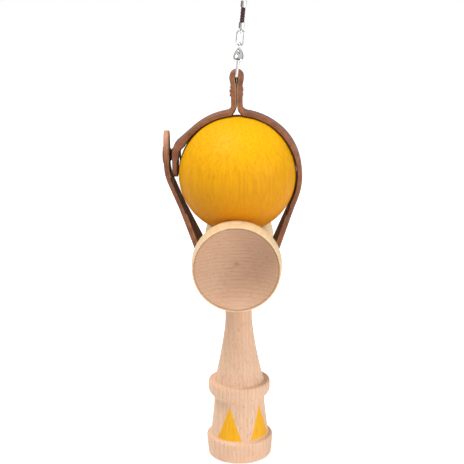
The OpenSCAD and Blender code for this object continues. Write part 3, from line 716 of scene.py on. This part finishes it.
def make_ball():
    """The ball with its mouth's chamfer, tapered hole and string hole, as one outline."""
    top = math.sqrt(BALL_R**2 - STRING_HOLE_R**2)
    first = math.degrees(math.asin(top / BALL_R))
    last = -math.degrees(math.acos(HOLE_MOUTH_R / BALL_R))
    end_z = MOUTH_Z + HOLE_DEPTH
    outline = [(STRING_HOLE_R, end_z), (STRING_HOLE_R, BALL_Z + top - 0.5)]
    outline += arc(STRING_HOLE_R + 0.4, BALL_Z + top - 0.45, 0.4, 180, 100, 4)
    outline += arc(0, BALL_Z, BALL_R, first - 1.6, last + 0.8, 110)
    outline += arc(HOLE_MOUTH_R - 0.2, MOUTH_Z + 0.2, 0.3, -60, -130, 3)
    inner = HOLE_MOUTH_R - MOUTH_CHAMFER
    foot, taper_len = MOUTH_Z + MOUTH_CHAMFER, HOLE_DEPTH - MOUTH_CHAMFER
    outline += [(inner + (HOLE_END_R - inner) * f / 8, foot + taper_len * f / 8) for f in range(9)]
    outline += [(STRING_HOLE_R, end_z)]
    bm = bmesh.new()
    lathe(bm, outline, 192)
    bmesh.ops.remove_doubles(bm, verts=bm.verts, dist=0.0005)
    ball = finished_piece("ball_painted", bm, [PAINT], sharp_deg=35)
    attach(ball, "ball")
    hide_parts("ball")


make_handle()
make_cross_cups()
make_ball()

# ---------------------------------------------------------------------------
# The strap: one leather sheet along a middle line, cut to a width at every height

T2 = LEATHER_T / 2
OVER_R = BALL_R + STRAP_GAP + T2
UNDER_R = CRADLE_R + T2
SIDE_LEAN = math.degrees(math.asin((OVER_R - UNDER_R) / (BALL_Z - CUP_AXIS_Z)))
TAB_X = -(BALL_R + TAB_GAP + T2)
FLAP_X = TAB_X - LEATHER_T - SNAP_GAP
FLAP_UPRIGHT_Z = BALL_Z + FLAP_UPRIGHT
FLAP_TOP_Z = BALL_Z + FLAP_TOP
BEND_RIGHT, BEND_UP = -(FLAP_X + FLAP_BEND_R), FLAP_UPRIGHT_Z - CUP_AXIS_Z
FLAP_LEAN = math.degrees(math.acos((UNDER_R - FLAP_BEND_R) / math.hypot(BEND_RIGHT, BEND_UP))
                         - math.atan2(BEND_UP, BEND_RIGHT))
NECK_X = T2 + LAYER_GAP / 2
NECK_BEND_X = NECK_X + NECK_BEND_R
NECK_Z0 = BALL_Z + math.sqrt((OVER_R + NECK_BEND_R)**2 - NECK_BEND_X**2)
NECK_Z1 = NECK_Z0 + NECK_LEN
LOOP_Z = NECK_Z1 + LOOP_LEN
NECK_SIDE_DEG = math.degrees(math.atan2(NECK_Z0 - BALL_Z, NECK_BEND_X))
TAB_KNEE_Z = (BALL_Z + OVER_R * math.sin(math.radians(TAB_ANGLE))
              - (-TAB_X - OVER_R * math.cos(math.radians(TAB_ANGLE))) / math.tan(math.radians(TAB_ANGLE)))
SNAP_AT_Z = BALL_Z + SNAP_Z
RIVET_Z = NECK_Z1 - RIVET_CAP_R - 0.3
RIVET_FACE = NECK_X + T2


def flap_line_x(z):
    """Where the flap's straight lower stretch stands at a height."""
    lean = math.radians(FLAP_LEAN)
    return -(UNDER_R / math.cos(lean) + math.tan(lean) * (z - CUP_AXIS_Z))


# The soft bend where the band leaves its upright end
KNEE_R = 5.0
# The flap's own leather starts here, below its hinge
SEAM_Z = 112.5


def band_line():
    """The band's middle line in the XZ plane, from its free end over the ball to the flap's seam."""
    knee = KNEE_R * math.tan(math.radians(TAB_ANGLE / 2))
    line = [(TAB_X, BALL_Z - TAB_END)]
    line += arc(TAB_X + KNEE_R, TAB_KNEE_Z - knee, KNEE_R, 180, 180 - TAB_ANGLE, 6)
    line += arc(0, BALL_Z, OVER_R, 180 - TAB_ANGLE, 180 - NECK_SIDE_DEG, 20)
    line += arc(-NECK_BEND_X, NECK_Z0, NECK_BEND_R, -NECK_SIDE_DEG + 6, 0, 8)
    line += [(-NECK_X, NECK_Z1)]
    line += arc(0, LOOP_Z, LOOP_R + T2, 180, 0, 20)
    line += [(NECK_X, NECK_Z1)]
    line += arc(NECK_BEND_X, NECK_Z0, NECK_BEND_R, 180, 180 + NECK_SIDE_DEG - 6, 8)
    line += arc(0, BALL_Z, OVER_R, NECK_SIDE_DEG, -SIDE_LEAN, 36)
    line += arc(0, CUP_AXIS_Z, UNDER_R, -SIDE_LEAN, FLAP_LEAN - 180, 36)
    return line + [(flap_line_x(SEAM_Z), SEAM_Z)]


def flap_line():
    """The flap's middle line, from its seam with the band up to its free end."""
    line = [(flap_line_x(SEAM_Z), SEAM_Z)]
    line += arc(FLAP_X + FLAP_BEND_R, FLAP_UPRIGHT_Z, FLAP_BEND_R, 180 + FLAP_LEAN, 180, 12)
    return line + [(FLAP_X, FLAP_TOP_Z)]


# The strap's half width at the heights where it starts or stops changing
WIDTHS = [(CUP_AXIS_Z + 4, CRADLE_W / 2), (BALL_Z - 17, STRAP_W / 2),
          (BALL_Z + 16, STRAP_W / 2), (BALL_Z + 27, LOOP_W / 2)]
STATION_STEP = 0.7
# A round end's tip is this share of the leather's thickness, and full thickness this far from it
TIP_SHARE, TIP_LEN = 0.72, 2.0


def half_width(z):
    """The strap's half width at a height; the corners between its stretches are rounded."""
    def straight(at):
        if at <= WIDTHS[0][0]:
            return WIDTHS[0][1]
        for (z0, w0), (z1, w1) in zip(WIDTHS, WIDTHS[1:]):
            if at <= z1:
                return w0 + (w1 - w0) * (at - z0) / (z1 - z0)
        return WIDTHS[-1][1]
    return sum(straight(z + d) for d in (-1.5, -0.75, 0, 0.75, 1.5)) / 5


def point_at(points, lengths, at):
    """The point at a distance along a line."""
    k = 0
    while k < len(points) - 2 and lengths[k + 1] < at:
        k += 1
    return points[k].lerp(points[k + 1], (at - lengths[k]) / (lengths[k + 1] - lengths[k]))


def along_line(line, round_first, round_last, least=0.0):
    """Stations along a middle line: (point, outward normal, half width, thickness share, inner swell,
    back swell). A round end narrows in a half circle and thins a little at its tip; least is the narrowest
    half width. The line is smoothed three times, except where an end is round."""
    points = [Vector((x, 0, z)) for x, z in line]
    lengths = [0.0]
    for a, b in zip(points, points[1:]):
        lengths.append(lengths[-1] + (b - a).length)
    total = lengths[-1]
    round_r = STRAP_W / 2
    turns = [math.radians(a) for a in (86, 78, 69, 60, 51, 42, 33, 24, 16, 8)]
    head = [round_r - round_r * math.sin(a) for a in turns] if round_first else []
    tail = [total - round_r + round_r * math.sin(a) for a in turns[::-1]] if round_last else []
    begin, end = (round_r if round_first else 0.0), (total - round_r if round_last else total)
    count = round((end - begin) / STATION_STEP)
    middle = [begin + (end - begin) * i / count for i in range(count + 1)]
    places = head + middle + tail
    even = [point_at(points, lengths, at) for at in middle]
    for _ in range(3):
        inside = [(a + 2 * b + c) / 4 for a, b, c in zip(even, even[1:], even[2:])]
        even = [even[0]] + inside + [even[-1]]
    soft = dict(zip(middle, even))
    centres = [soft.get(at) or point_at(points, lengths, at) for at in places]
    stations = []
    for i, (at, centre) in enumerate(zip(places, centres)):
        tangent = (centres[min(i + 1, len(centres) - 1)] - centres[max(i - 1, 0)]).normalized()
        half = max(half_width(centre.z), least)
        from_end = min(at if round_first else math.inf, total - at if round_last else math.inf)
        if from_end < round_r:
            half = math.sqrt(max(round_r**2 - (round_r - from_end)**2, 0.0))
        thick = 1.0
        if from_end <= TIP_LEN:
            thick = TIP_SHARE + (1 - TIP_SHARE) * math.sqrt(1 - (1 - from_end / TIP_LEN)**2)
        out = Vector((-tangent.z, 0, tangent.x))
        stations.append((centre, out, half, thick, inner_swell(centre), back_swell(centre)))
    return stations


# What the flesh side leaves open to the ball: all round it, beside the snap and along the upright end
BAND_CLEAR, SNAP_CLEAR, TAB_CLEAR = 0.12, 0.75, 0.35
BAND_SWELL, TAB_SWELL = 0.3, 1.3
TAB_REACH_UP = 26.0
# The stretch of the neck whose rear half is filled, and how much its layers leave open there
NECK_FILL_DOWN, NECK_FILL_CLEAR = 1.4, 0.03


def inner_swell(centre):
    """How far the soft flesh side stands in beyond the plain thickness: towards the ball behind the band's
    upright end, and a little all round the ball."""
    gap = math.hypot(centre.x, centre.z - BALL_Z) - BALL_R - T2
    if centre.z > NECK_Z0 + 1.0:
        return 0.0
    if TAB_X - 0.5 < centre.x < 0 and BALL_Z < centre.z < BALL_Z + TAB_REACH_UP:
        clear = SNAP_CLEAR if abs(centre.z - SNAP_AT_Z) < SNAP_SOCKET_R + 0.3 else TAB_CLEAR
        return min(TAB_SWELL, max(0.1, gap - clear))
    return min(BAND_SWELL, max(0.0, gap - BAND_CLEAR)) if gap < 0.8 else 0.0


def back_swell(centre):
    """How far the flesh side stands in besides that in the rear half of the neck and the loop's foot,
    where the two layers touch."""
    low, high = NECK_Z0 - NECK_FILL_DOWN, LOOP_Z - 0.6
    if not low < centre.z < high:
        return 0.0
    fade = min(1.0, centre.z - low, (high - centre.z) / 0.5)
    return max(0.0, abs(centre.x) - T2 - inner_swell(centre) - NECK_FILL_CLEAR) * fade


LEATHERS = [GRAIN_SIDE, FLESH_SIDE, CUT_EDGE, RAW_EDGE, PAINTED_SHADE_RIM_EDGE]
FLAP_LEATHERS = [GRAIN_SIDE, FLESH_SIDE, FLAP_EDGE, RAW_EDGE, PAINTED_SHADE_RIM_EDGE]
GRAIN, FLESH, EDGE, RIM, PAINTED_SHADE_RIM = range(5)
# What each face round the section is, from one edge of the grain side round to it again
SECTION_FACES = [GRAIN] * 7 + [EDGE] * 3 + [RIM] * 2 + [FLESH] * 6 + [RIM] * 2 + [EDGE] * 3 + [GRAIN]
# The rim carries painted shade, a dark colour for the crevice between strap and ball, up to this far outside
# the strap's line round the ball, and this far below its centre
PAINTED_SHADE_RIM_OUT, PAINTED_SHADE_RIM_DOWN = 3.0, 20.0
EDGE_BEVEL, RIM_BEVEL, CROWN = 0.42, 0.30, 0.06


def strap_section(bm, station):
    """One ring of points round the leather: crowned outside, bevelled at all four long edges."""
    centre, out, half, thick, swell, back = station
    top, foot = T2 * thick, -T2 * thick - swell
    bevel, under = min(EDGE_BEVEL, half * 0.4) * thick, min(RIM_BEVEL, half * 0.3) * thick
    span = [-half + bevel + 2 * (half - bevel) * k / 6 for k in range(7)]
    ring = [(y, top - (CROWN if k in (0, 6) else 0.0)) for k, y in enumerate(span)]
    ring += [(half - bevel * 0.3, top - bevel * 0.35), (half, top - bevel), (half + 0.03, 0.3 * thick)]
    ring += [(half, foot + under * 1.9), (half - 0.05, foot + under), (half - under, foot)]
    ring += [(-y, foot - back * min(1.0, max(0.0, 0.4 - y))) for y in span[1:-1]]
    ring += [(-y, h) for y, h in ring[12:6:-1]]
    return [bm.verts.new(centre + out * h + Vector((0, y, 0))) for y, h in ring]


def strap_mesh(stations):
    """The leather along its stations, with each face's own side, edge or rim."""
    bm = bmesh.new()
    rings = [strap_section(bm, station) for station in stations]
    for face, i, k in skin(bm, rings):
        centre = stations[i][0]
        from_ball = math.hypot(centre.x, centre.z - BALL_Z)
        # Painted shade: rim faces round the ball take the dark rim colour, standing for the crevice's shade
        painted_shade_rim = from_ball < OVER_R + PAINTED_SHADE_RIM_OUT and centre.z > BALL_Z - PAINTED_SHADE_RIM_DOWN
        face.material_index = PAINTED_SHADE_RIM if painted_shade_rim and SECTION_FACES[k] == RIM else SECTION_FACES[k]
    for ring in (rings[0], rings[-1]):
        bm.faces.new(ring).material_index = EDGE
    return bm


def slot_cutter():
    """The slot's shape, a round end over straight sides, pushed out to both sides along X."""
    foot, reach = 80.0, 60.0
    outline = arc(0, SLOT_END_Z - SLOT_W / 2, SLOT_W / 2, 0, 180, 36)
    outline += [(-SLOT_W / 2, foot), (SLOT_W / 2, foot)]
    bm = bmesh.new()
    near, far = [[bm.verts.new((x, y, z)) for y, z in outline] for x in (-reach, reach)]
    bm.faces.new(near)
    bm.faces.new(far)
    skin(bm, [near, far])
    for face in bm.faces:
        face.material_index = EDGE
    return finished_piece("slot_cutter", bm, LEATHERS)


def drill_x(piece, x, z, r):
    """Drills a hole along X through one leather layer."""
    reach = 2.5
    bm = bmesh.new()
    lathe(bm, [(0, -reach), (r, -reach), (r, reach), (0, reach)], 40, EDGE)
    turn = Matrix.Translation((x, 0, z)) @ Matrix.Rotation(math.radians(90), 4, "Y")
    cut(piece, finished_piece("drill", bm, LEATHERS, turn=turn))


def make_strap_band():
    """The band with its slot, its snap's hole and the rivet's two holes."""
    bm = strap_mesh(along_line(band_line(), True, False))
    band = finished_piece("strap_band_leather", bm, LEATHERS, sharp_deg=50)
    cut(band, slot_cutter())
    drill_x(band, TAB_X, SNAP_AT_Z, SNAP_POST_R)
    drill_x(band, -NECK_X, RIVET_Z, RIVET_POST_R)
    drill_x(band, NECK_X, RIVET_Z, RIVET_POST_R)
    band.data.set_sharp_from_angle(angle=math.radians(50))
    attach(band, "handle")
    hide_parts("strap_band")


def make_strap_flap():
    """The flap with its snap's hole."""
    bm = strap_mesh(along_line(flap_line(), False, True, STRAP_W / 2))
    flap = finished_piece("strap_flap_leather", bm, FLAP_LEATHERS, sharp_deg=50)
    drill_x(flap, FLAP_X, SNAP_AT_Z, SNAP_POST_R)
    flap.data.set_sharp_from_angle(angle=math.radians(50))
    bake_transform(flap)
    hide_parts("strap_flap")


make_strap_band()
make_strap_flap()

# ---------------------------------------------------------------------------
# Metalware and cord


def turned_on_x(name, outline, x, z, outward, node, body, material=None):
    """A small pressed piece turned on a line along X: its outline is (radius, distance outward from x)."""
    bm = bmesh.new()
    lathe(bm, outline, 64)
    turn = Matrix.Translation((x, 0, z)) @ Matrix.Rotation(math.radians(90 * outward), 4, "Y")
    piece = finished_piece(name, bm, [material or BRASS], turn=turn, sharp_deg=40)
    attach(piece, body)
    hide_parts(node)


def cap_outline(r, h, dent):
    """A pressed cap: rolled edge, a shallow groove inside it, then a dome with a small dent."""
    edge = h * 0.42
    outline = [(r - 0.12, 0.0)] + arc(r - edge, edge, edge, -30, 100, 7)
    outline += [(r * 0.80, h * 0.62), (r * 0.70, h * 0.70), (r * 0.50, h * 0.90), (r * 0.30, h)]
    return outline + [(r * 0.16, h - dent * 0.4), (0, h - dent)]


def make_rivet_and_snap():
    """The rivet through the neck and the four pieces of the press snap."""
    cap = [(0, 0)] + cap_outline(RIVET_CAP_R, RIVET_CAP_H, 0.12)
    turned_on_x("rivet_cap_pressed", cap, -RIVET_FACE, RIVET_Z, -1, "rivet_cap", "handle", RIVET_METAL)
    through = 2 * RIVET_FACE
    post = [(0, -through), (RIVET_POST_R, -through), (RIVET_POST_R, 0)]
    post += cap_outline(RIVET_CAP_R * 0.85, RIVET_CAP_H * 0.6, 0.08)
    turned_on_x("rivet_post_pressed", post, RIVET_FACE, RIVET_Z, 1, "rivet_post", "handle", RIVET_METAL)
    shank = [(0, -LEATHER_T), (SNAP_POST_R, -LEATHER_T), (SNAP_POST_R, 0)]
    turned_on_x("snap_cap_pressed", shank + cap_outline(SNAP_CAP_R, SNAP_CAP_H, 0.10),
                FLAP_X - T2, SNAP_AT_Z, -1, "snap_cap", "flap")
    inside = TAB_X + T2 + inner_swell(Vector((TAB_X, 0, SNAP_AT_Z)))
    through = inside - (TAB_X - T2)
    eyelet = [(0, -through), (SNAP_POST_R, -through), (SNAP_POST_R, 0)]
    eyelet += cap_outline(SNAP_SOCKET_R - 0.5, 0.5, 0.25)
    turned_on_x("snap_eyelet_pressed", eyelet, inside, SNAP_AT_Z, 1, "snap_eyelet", "handle")
    # The socket: a plate on the flap's inner face with a bead round its mouth
    mouth, plate = SNAP_STUD_R + 0.35, 0.6
    high = SNAP_GAP * 0.7
    socket = [(0, 0.0), (SNAP_SOCKET_R - 0.1, 0.0)] + arc(SNAP_SOCKET_R - 0.25, 0.25, 0.25, -30, 90, 5)
    socket += [(mouth + 1.0, plate - 0.05)] + arc(mouth + 0.33, high - 0.33, 0.33, 20, 160, 7)
    socket += [(mouth, 0.3), (0, 0.3)]
    turned_on_x("snap_socket_pressed", socket, FLAP_X + T2, SNAP_AT_Z, 1, "snap_socket", "flap")
    reach = SNAP_GAP - 0.5
    stud = [(0, 0.0), (SNAP_SOCKET_R - 0.5, 0.0), (SNAP_SOCKET_R - 0.42, 0.12), (SNAP_SOCKET_R - 0.6, 0.28)]
    stud += [(SNAP_STUD_R - 0.05, 0.32), (SNAP_STUD_R - 0.3, 0.42)]
    stud += arc(SNAP_STUD_R - 0.35, reach - 0.33, 0.33, -35, 90, 7)
    stud += [(0.5, reach - 0.02), (0.4, reach - 0.2), (0, reach - 0.2)]
    turned_on_x("snap_stud_pressed", stud, TAB_X - T2, SNAP_AT_Z, -1, "snap_stud", "handle")


HOOK_Z = LOOP_Z + LOOP_R - HOOK_WIRE_R - 0.1
CHAIN = Matrix.Translation((0, 0, HOOK_Z)) @ Matrix.Rotation(math.radians(CHAIN_LEAN), 4, "Y")
EYE_MID_R = EYE_R - EYE_WIRE_R
EYE_H = HOOK_H + CLASP_BODY_H + 0.1 + EYE_R
FERRULE_FOOT = EYE_H + LINK_LEN - 2 * EYE_WIRE_R + EYE_MID_R
CORD_STRANDS = 4
# The height that a strand climbs in one turn
CORD_LAY = 6.5
# How much shorter than the solid the laid cord is, at each end
CORD_END_GAP = 0.62
# The gate's coil, and how far it stands behind the gate's pin
COIL_TURNS = 5
COIL_R = 0.45
COIL_WIRE_R = 0.09
COIL_BACK = 2.0


def make_cord():
    """The dark cord: four strands laid round each other, from inside one ferrule to inside the other."""
    low = FERRULE_FOOT + CORD_END_GAP
    high = FERRULE_FOOT + 2 * FERRULE_H + CORD_LEN - CORD_END_GAP
    strand_r = CORD_R * math.sin(math.pi / 4) / (1 + math.sin(math.pi / 4))
    around = CORD_R - strand_r
    bm = bmesh.new()
    for strand in range(CORD_STRANDS):
        path = []
        for i in range(81):
            z = low + (high - low) * i / 80
            a = 2 * math.pi * (strand / CORD_STRANDS + (z - low) / CORD_LAY)
            path.append((around * math.cos(a), around * math.sin(a), z))
        tube(bm, path, strand_r * 1.02, 12)
    tube(bm, [(0, 0, low), (0, 0, high)], around * 0.6, 8)
    cord = finished_piece("tether_cord_laid", bm, [CORD_DARK], turn=CHAIN, sharp_deg=60)
    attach(cord, "tether")
    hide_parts("tether_cord")


def make_gate_spring():
    """The coil behind the gate's head, wound round a line along X."""
    width = GATE_T * 0.7
    path = []
    for i in range(121):
        a = 2 * math.pi * COIL_TURNS * i / 120
        y = HOOK_HALF - COIL_BACK + COIL_R * math.cos(a)
        path.append((-width / 2 + width * i / 120, y, GATE_PIN_H + COIL_R * math.sin(a)))
    bm = bmesh.new()
    tube(bm, path, COIL_WIRE_R, 8)
    spring = finished_piece("gate_spring_coil", bm, [STEEL], turn=CHAIN, sharp_deg=60)
    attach(spring, "clasp")
    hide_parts("gate_spring")


# The clasp's body: share of its height, half width across and half width front to back
BODY_SHAPE = [
    (0.00, 1.75, 5.25), (0.05, 2.10, 5.62), (0.14, 2.45, 5.90), (0.28, 2.66, 5.95),
    (0.42, 2.64, 5.60), (0.56, 2.45, 4.90), (0.69, 2.12, 3.95), (0.81, 1.75, 2.95),
    (0.91, 1.48, 2.10), (0.97, 1.30, 1.60), (1.00, 1.10, 1.25),
]
BODY_SQUARENESS = 3.2


def make_clasp_body():
    """The clasp's egg-shaped body with the hook, the gate's slot and pin bore and the swivel's seat."""
    top = HOOK_H + CLASP_BODY_H
    bm = bmesh.new()
    rings = []
    for share, across, deep in BODY_SHAPE:
        ring = []
        for k in range(64):
            a = 2 * math.pi * k / 64
            x, y = math.cos(a), math.sin(a)
            size = (abs(x) ** BODY_SQUARENESS + abs(y) ** BODY_SQUARENESS) ** (-1 / BODY_SQUARENESS)
            ring.append(bm.verts.new((x * size * across, y * size * deep, HOOK_H + CLASP_BODY_H * share)))
        rings.append(ring)
    skin(bm, rings)
    bm.faces.new(rings[0])
    bm.faces.new(rings[-1])
    body = finished_piece("clasp_body_cast", bm, [CHROME], turn=CHAIN, sharp_deg=60)
    path = [(-HOOK_HALF, HOOK_H + 1.0), (-HOOK_HALF, (HOOK_H + HOOK_CORNER_R) / 2)]
    path += arc(-HOOK_HALF + HOOK_CORNER_R, HOOK_CORNER_R, HOOK_CORNER_R, 180, 270, 10)
    path += arc(HOOK_HALF - HOOK_CORNER_R, HOOK_CORNER_R, HOOK_CORNER_R, 270, 360, 10)
    path += [(HOOK_HALF, HOOK_TIP_H)]
    bm = bmesh.new()
    tube(bm, [(0, y, h) for y, h in path], HOOK_WIRE_R, 24)
    cut(body, finished_piece("hook_wire", bm, [CHROME], turn=CHAIN), "UNION")
    slot_t = GATE_T / 2 + 0.05
    bm = bmesh.new()
    bmesh.ops.create_cube(bm, size=1.0)
    bmesh.ops.scale(bm, vec=(2 * slot_t, 8.0, 3.9), verts=bm.verts)
    bmesh.ops.translate(bm, vec=(0, HOOK_HALF - 2.6 + 4.0, HOOK_H - 1.0 + 1.95), verts=bm.verts)
    cut(body, finished_piece("gate_slot", bm, [CHROME], turn=CHAIN))
    bm = bmesh.new()
    wide, narrow = STEM_R + 0.45, STEM_R + 0.05
    floor, shoulder, above = top - 2.8, top - 1.8, top + 0.5
    seat = [(0, floor), (wide, floor), (wide, shoulder), (narrow, shoulder), (narrow, above), (0, above)]
    lathe(bm, seat, 48)
    cut(body, finished_piece("stem_seat", bm, [CHROME], turn=CHAIN))
    bm = bmesh.new()
    lathe(bm, [(0, -4.0), (GATE_PIN_R, -4.0), (GATE_PIN_R, 4.0), (0, 4.0)], 32)
    along_x = Matrix.Translation((0, HOOK_HALF, GATE_PIN_H)) @ Matrix.Rotation(math.radians(90), 4, "Y")
    cut(body, finished_piece("pin_bore", bm, [CHROME], turn=CHAIN @ along_x))
    body.data.set_sharp_from_angle(angle=math.radians(50))
    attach(body, "clasp")
    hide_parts("clasp_body")


def carry(node, material):
    """A small CAD piece whose shape is right gets its finish."""
    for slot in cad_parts[node].material_slots:
        slot.material = material


make_rivet_and_snap()
make_cord()
make_gate_spring()
make_clasp_body()
for node in ("clasp_gate", "gate_pin", "swivel_eye", "oval_link", "lower_ferrule", "upper_ferrule",
             "key_ring"):
    carry(node, CHROME)
